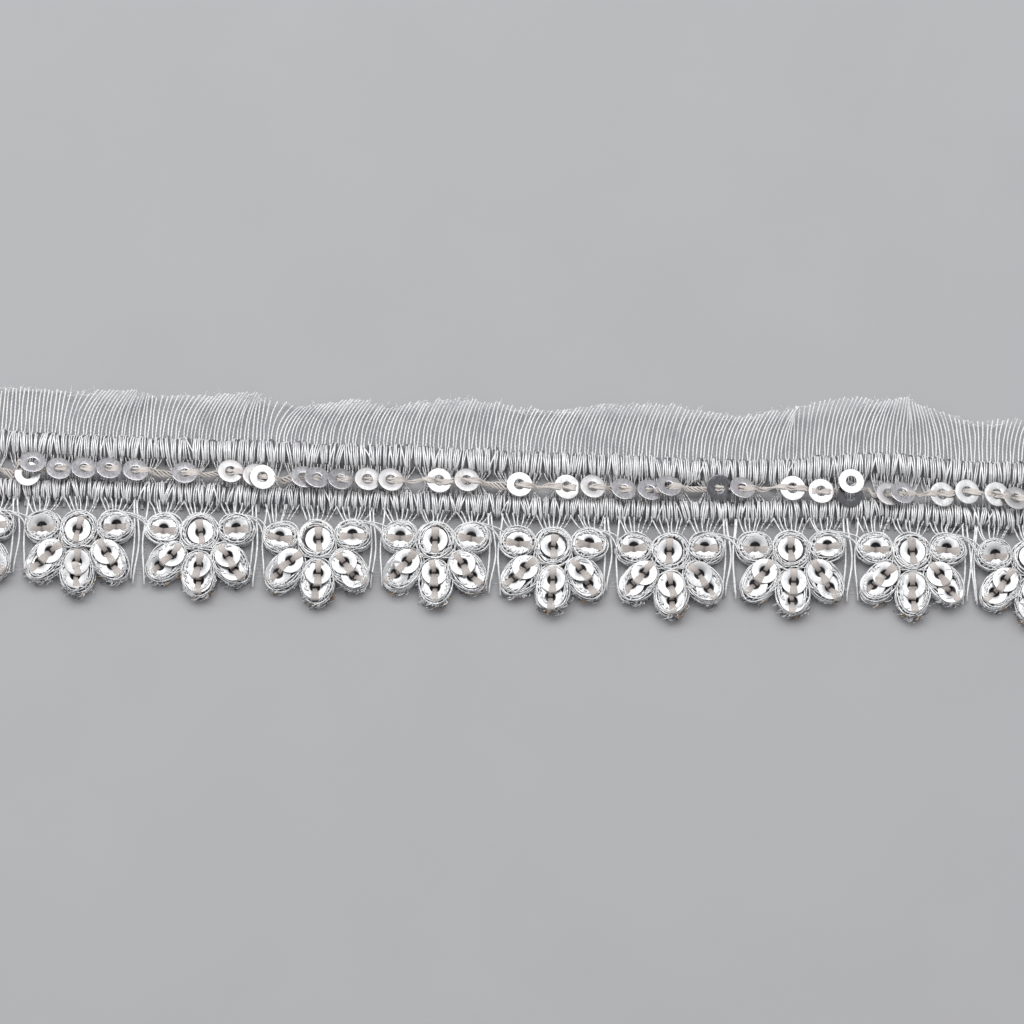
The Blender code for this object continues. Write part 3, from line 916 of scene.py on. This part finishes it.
def flowerCrossings(store, draws):
    # strands carried over from one petal's rim to the next
    centres = np.array([row[:2] for row in petalRows])
    for one, other in ((0, 1), (2, 1), (0, 3), (2, 5), (1, 3), (1, 5), (3, 4), (5, 4)):
        heading = math.atan2(*(centres[other] - centres[one])[::-1])
        for swing in draws.permutation((-0.75, -0.35, 0.35, 0.75))[:3]:
            ends = []
            for petal, way, bend in ((one, heading, swing), (other, heading + math.pi, swing)):
                angle = way + bend - math.radians(petalRows[petal][4]) + draws.normal(0, 0.08)
                ends.append(ovalPoint(petalRows[petal], angle, 0.32 * mm))
            start, end = np.array(ends)
            share = np.linspace(0, 1, 9)
            flatPath = start + (end - start) * share[:, None]
            side = np.array([start[1] - end[1], end[0] - start[0]])
            bow = np.sin(share * np.pi) * 0.12 * np.sign(swing)
            flatPath = flatPath + side * bow[:, None]
            height = (1.98 - 0.3 * np.sin(share * np.pi)) * mm + draws.normal(0, 0.03 * mm)
            path = np.column_stack([flatPath, height])
            addThreads(store, path[None], 0.09 * mm, 5, 0.75, 1.5)


def placeStore(store, origin, turn):
    cosT, sinT = math.cos(turn), math.sin(turn)
    spin = np.array([[cosT, -sinT, 0], [sinT, cosT, 0], [0, 0, 1]])
    store["points"] = [p @ spin.T + origin for p in store["points"]]


flowerTie = {
    "strands": 7,
    "radius": 0.075 * mm,
    "half": (0.30, 0.44),  # half width of a bundle, in millimetres
    "sideHalf": (0.40, 0.48),
    "sideShift": (-0.34, -0.2),
    # share of a bundle's length, height over the sequin
    "level": ((0, -0.16), (0.1, 0.06), (0.2, 0.1), (0.6, 0.08), (0.8, -0.06), (1, -0.26)),
    # share of a bundle's length, distance from the hole's middle
    "run": ((0, 1.58), (0.1, 1.5), (0.6, 0.66), (0.8, 0.42), (1, 0.1)),
}


def flowerTies(store, item, matrix, draws):
    # two bundles of beige filaments, each from the sequin's edge down into its hole, darkening
    # towards the hole with painted shade
    strands = flowerTie["strands"]
    share = np.linspace(0, 1, 8)
    level = np.interp(share, *zip(*flowerTie["level"])) * mm
    run = np.interp(share, *zip(*flowerTie["run"])) * mm
    narrow = 1 - 0.4 * smoothStep((share - 0.3) / 0.5)
    # painted shade, deepest where the filaments go down into the hole
    shade = 0.8 * smoothStep((share - 0.1) / 0.85)
    paths = []
    for end in (0, 180):
        angle = math.radians(item["tie"] + end + draws.normal(0, 7))
        half, shift, inner, deep = draws.uniform(*flowerTie["half"]) * mm, 0.0, run, level
        if item["tie"] == 0:  # the side petals' bands are the widest and lie below the middle
            half = draws.uniform(*flowerTie["sideHalf"]) * mm
            shift = draws.uniform(*flowerTie["sideShift"]) * mm
            deep = level * 0.6
            inner = run - 0.1 * mm * smoothStep((share - 0.6) / 0.4)
        for strand in range(strands):
            offset = (strand / (strands - 1) * 2 - 1) * half
            crown = (1 - (offset / half) ** 2) * 0.06 * mm
            local = np.stack(
                [
                    inner * math.cos(angle) - offset * narrow * math.sin(angle),
                    inner * math.sin(angle) + offset * narrow * math.cos(angle) + shift,
                    deep + crown + draws.normal(0, 0.006 * mm, len(share)),
                ],
                -1,
            )
            paths.append(local @ matrix[:3, :3].T + matrix[:3, 3])
    ref = (0.05, 0.05, 1)
    addThreads(store, np.array(paths), flowerTie["radius"], 4, 0.9, 0.0, ref, shade=shade)


def makeFlower(number):
    draws = np.random.default_rng(flowerLook["seed"] + number)
    origin = flowerPlace(number)
    turn = math.radians(flowerTurns[number - 1])
    stitches, mounds, films, ties = newStore(), newStore(), newStore(), newStore()
    for petal in petalRows:
        petalMound(mounds, petal, draws)
        petalRounds(stitches, petal, draws)
        petalWraps(stitches, petal, draws)
    flowerFuzz(stitches, draws, flowerLook["fuzz"])
    flowerCrossings(stitches, draws)
    for item in flowerSequins:
        across = item["across"]
        if across is None:
            across = lowestSequins[number - 1]
        middle = np.array(
            [
                item["along"] * mm + draws.normal(0, 0.11 * mm),
                across * mm + draws.normal(0, 0.08 * mm),
                flowerLook["sequinLevels"][item["level"]],
            ]
        )
        facing = np.array([draws.normal(0, 0.07), draws.normal(0.04, 0.09), 1.0])
        matrix = facingMatrix(middle, facing, 0.0)
        shape, faces = sequinShape(draws.uniform(0.01, 0.06) * mm, 0.05 * mm)
        addShapes(films, shape, faces, [matrix])
        flowerTies(ties, item, matrix, draws)
    for store in (stitches, mounds, films, ties):
        placeStore(store, origin, turn)
    label = f"{number:02d}"
    node = f"flower_{label}"
    silver = [foilThread, amberThread, coreAndPaintedShadeThread]
    piece = makePiece(f"flowerStitches{label}", stitches, silver, [node])
    makePiece(f"flowerMounds{label}", mounds, [coreAndPaintedShadeThread])
    makePiece(f"flowerSequins{label}", films, [sequinFilmPaintedShade["bright"]])
    makePiece(f"flowerTies{label}", ties, [tieThread])
    return trisIn(piece)


for number in range(1, flowerCount + 1):
    flowerTris = makeFlower(number)
print("flowers:", flowerCount, "made, the last with", flowerTris, "triangles of stitches")


# Bars from the lower band to the petals
bars = {
    "perPetal": 7,
    "radius": 0.105 * mm,
    "reach": 2.1 * mm,  # half width of a fan where it leaves the band
    "swing": 30,  # half angle that a fan takes up on its petal
    "high": 1.5 * mm,
    "low": 1.65 * mm,
    "sag": 0.35 * mm,
    "seed": 91,
}


def makeBars():
    draws = np.random.default_rng(bars["seed"])
    store = newStore()
    for number in range(1, flowerCount + 1):
        origin = flowerPlace(number)
        turn = math.radians(flowerTurns[number - 1])
        for petal in petalRows[:3]:
            count = bars["perPetal"]
            share = np.linspace(-1, 1, count) + draws.normal(0, 0.06, count)
            top = petal[0] * mm + share * bars["reach"]
            angle = np.radians(90 - share * bars["swing"] + draws.normal(0, 3))
            fx, fy = ovalPoint(petal, angle, 0.05 * mm)
            bend = draws.normal(0, 0.07 * mm, count)
            x0, y0 = origin[0] + top, bandMiddle("lower", origin[0] + top) - bandHalf["lower"]
            y0 = rowY + y0 + 0.3 * mm
            x1 = origin[0] + fx * math.cos(turn) - fy * math.sin(turn)
            y1 = origin[1] + fx * math.sin(turn) + fy * math.cos(turn)
            steps = np.linspace(0, 1, 6)[None]
            x = x0[:, None] + (x1 - x0)[:, None] * steps + bend[:, None] * np.sin(steps * np.pi)
            y = y0[:, None] + (y1 - y0)[:, None] * steps
            z = bars["high"] + (bars["low"] - bars["high"]) * steps
            z = z - bars["sag"] * np.sin(steps * np.pi)
            z = np.repeat(z, count, 0) + draws.normal(0, 0.02 * mm, x.shape)
            addThreads(store, np.stack([x, y, z], -1), bars["radius"], 4, 0.8, 1.2, (1, 0, 0))
    piece = makePiece("petalBars", store, [foilThread])
    print("bars:", trisIn(piece), "triangles")


makeBars()


# Threads and net between flowers
between = {
    "radius": 0.135 * mm,
    "spots": ((-0.85, 0.25), (-0.5, 0.5), (0.78, -0.35), (0.5, -0.4)),  # place and bow
    "netRadius": 0.03 * mm,
    "netPitch": 0.45,
    "linkRadius": 0.105 * mm,
    "linkAngles": ((78, 150), (62, 175), (48, 192)),  # on one flower, on the next
    "end": -12.9 * mm,
    "seed": 101,
}


def onFlower(number, petal, degrees, inset):
    # a point on the rim of a flower's petal, in the frame
    x, y = ovalPoint(petalRows[petal], np.radians(degrees), inset)
    turn = math.radians(flowerTurns[number - 1])
    origin = flowerPlace(number)
    along = origin[0] + x * math.cos(turn) - y * math.sin(turn)
    across = origin[1] + x * math.sin(turn) + y * math.cos(turn)
    return np.array([along, across])


def addLinks(store, number, draws):
    # loose strands carried from one flower's side petal over to the next flower's
    for degrees, far in between["linkAngles"]:
        start = onFlower(number, 2, degrees + draws.normal(0, 5), 0.1 * mm)
        end = onFlower(number + 1, 0, far + draws.normal(0, 6), 0.1 * mm)
        corner = np.array([end[0] - 0.4 * mm, start[1] + draws.normal(0.0, 0.15) * mm])
        share = np.linspace(0, 1, 12)[:, None]
        flatPath = (1 - share) ** 2 * start + 2 * share * (1 - share) * corner + share**2 * end
        height = 1.75 * mm - 0.5 * mm * np.sin(share[:, 0] * np.pi)
        path = np.column_stack([flatPath, height])
        addThreads(store, path[None], between["linkRadius"], 5, 0.8, 2.0, (0, 0, 1))


def makeBetween():
    draws = np.random.default_rng(between["seed"])
    threads, net = newStore(), newStore()
    share = np.linspace(0, 1, 14)
    for number in range(1, flowerCount):
        middle = (flowerPlace(number)[0] + flowerPlace(number + 1)[0]) / 2
        start = bandMiddle("lower", np.array([middle]))[0] - bandHalf["lower"] + 0.2 * mm
        for spot, bow in between["spots"]:
            if spot == 0.5 and draws.uniform() < 0.5:
                continue  # this one is missing between some flowers
            bow = (bow + draws.normal(0, 0.1)) * mm
            x = middle + spot * mm + bow * np.sin(share * np.pi) ** 2 + draws.normal(0, 0.05 * mm)
            end = between["end"] + draws.uniform(-0.1, 1.2) * mm
            y = rowY + start + (end - start) * share
            z = (1.3 - 0.7 * share) * mm
            path = np.stack([x, y, z], -1)
            radius = between["radius"] * draws.uniform(0.9, 1.1)
            addThreads(threads, path[None], radius, 5, 0.9, 1.0, (1, 0, 0))
        addLinks(threads, number, draws)
        for level in np.arange(-5.2, -11.6, -between["netPitch"]) * mm:
            x = np.linspace(middle - 0.9 * mm, middle + 0.9 * mm, 5)
            y = np.full(5, rowY + level) + draws.normal(0, 0.03 * mm, 5)
            path = np.stack([x, y, np.full(5, 0.2 * mm)], -1)
            addThreads(net, path[None], between["netRadius"], 3)
    makePiece("betweenThreads", threads, [foilThread])
    makePiece("betweenNet", net, [weftThread])


makeBetween()


# Frayed raw edge
fray = {"curls": 420, "tangles": 70, "seed": 111}


def makeFray():
    draws = np.random.default_rng(fray["seed"])
    store = newStore()
    share = np.linspace(0, 1, 8)
    for _ in range(fray["curls"]):
        base = np.array([draws.uniform(trimEnds[0] + 0.5 * mm, trimEnds[1] - 0.5 * mm)])
        across = ripple("reach", base) - draws.uniform(0, 0.25) * mm
        x, y, z = (v[0] for v in weavePoint(base, across))
        length = abs(draws.normal(0.35, 0.3)) * mm
        heading = draws.normal(1.57, 0.7)
        bend = draws.normal(0, 2.2)
        angle = heading + bend * share
        dx = np.cumsum(np.cos(angle)) * length / 8
        dy = np.cumsum(np.sin(angle)) * length / 8
        dz = np.cumsum(draws.normal(0, 0.25, 8)) * length / 8
        path = np.stack([x + dx, y + dy, np.maximum(z + dz, 0.05 * mm)], -1)
        addThreads(store, path[None], draws.uniform(0.03, 0.055) * mm, 4, 0.8, 1.0)
    share = np.linspace(0, 1, 18)
    for _ in range(fray["tangles"]):
        start = draws.uniform(trimEnds[0] + 1 * mm, trimEnds[1] - 4 * mm)
        base = start + share * draws.uniform(0.8, 2.6) * mm
        across = ripple("reach", base) - draws.uniform(0, 0.6) * mm
        across = across + wander(share, 0.16 * mm, 0.13, draws)
        x, y, z = weavePoint(base, across)
        path = np.stack([x, y, z + 0.05 * mm + wander(share, 0.05 * mm, 0.2, draws)], -1)
        addThreads(store, path[None], draws.uniform(0.03, 0.05) * mm, 4, 0.8, 1.0)
    piece = makePiece("rawEdgeFray", store, [headerThread])
    print("fray:", trisIn(piece), "triangles")


makeFray()


# Floor, light and camera
studio = {
    "floor": (0.43, 0.43, 0.44),
    "world": (0.97, 0.98, 1.0),
    "worldStrength": 0.45,
    "target": Vector((1.92, -1.73, 2.5)) * mm,
    "azimuth": 1.64,
    "elevation": 75.0,
    "lens": 100.0,
    "width": 118.2 * mm,
    "keyLight": {"place": (0.0, 0.29, 0.64), "size": (0.9, 0.38), "watts": 4.0},
    "sideLight": {"place": (-0.55, 0.10, 0.30), "size": (0.12, 0.3), "watts": 0.6},
    "sideColor": (0.97, 0.98, 1.0),
}


def makeFloor():
    bpy.ops.mesh.primitive_plane_add(size=3.0, location=(0, 0, 0))
    floor = bpy.context.object
    floor.name = "floor"
    material, nodes, links, shader = newMaterial("paleFloor", studio["floor"], 0.75, 0.0)
    tone = addNoise(nodes, links, 60, 4)
    low = tuple(c * 0.97 for c in studio["floor"])
    color = addRamp(nodes, links, tone, [(0.3, low), (0.7, studio["floor"])])
    links.new(color, shader.inputs["Base Color"])
    floor.data.materials.append(material)


def makeLight(name, color=(1, 1, 1)):
    # a soft box that faces the middle of the trim
    look = studio[name]
    place = Vector(look["place"])
    data = bpy.data.lights.new(name, "AREA")
    data.shape = "RECTANGLE"
    data.size, data.size_y = look["size"]
    data.energy = look["watts"]
    data.color = color
    light = bpy.data.objects.new(name, data)
    bpy.context.scene.collection.objects.link(light)
    light.location = place
    light.rotation_mode = "QUATERNION"
    light.rotation_quaternion = (-place).to_track_quat("-Z", "Y")


def makeStudio():
    world = bpy.data.worlds.new("studio")
    bpy.context.scene.world = world
    world.use_nodes = True
    background = world.node_tree.nodes["Background"]
    background.inputs["Color"].default_value = (*studio["world"], 1)
    background.inputs["Strength"].default_value = studio["worldStrength"]
    makeLight("keyLight")
    makeLight("sideLight", studio["sideColor"])
    bpy.context.scene.view_settings.view_transform = "Standard"


def makeCamera():
    data = bpy.data.cameras.new("camera")
    data.lens = studio["lens"]
    camera = bpy.data.objects.new("camera", data)
    bpy.context.scene.collection.objects.link(camera)
    azimuth, elevation = math.radians(studio["azimuth"]), math.radians(studio["elevation"])
    back = Vector(
        (
            math.sin(azimuth) * math.cos(elevation),
            -math.cos(azimuth) * math.cos(elevation),
            math.sin(elevation),
        )
    )
    distance = studio["width"] * data.lens / data.sensor_width
    camera.location = studio["target"] + back * distance
    camera.rotation_mode = "QUATERNION"
    camera.rotation_quaternion = (-back).to_track_quat("-Z", "Y")
    data.clip_start = 0.01
    bpy.context.scene.camera = camera


makeFloor()
makeStudio()
makeCamera()
print("floor, lights and camera set")
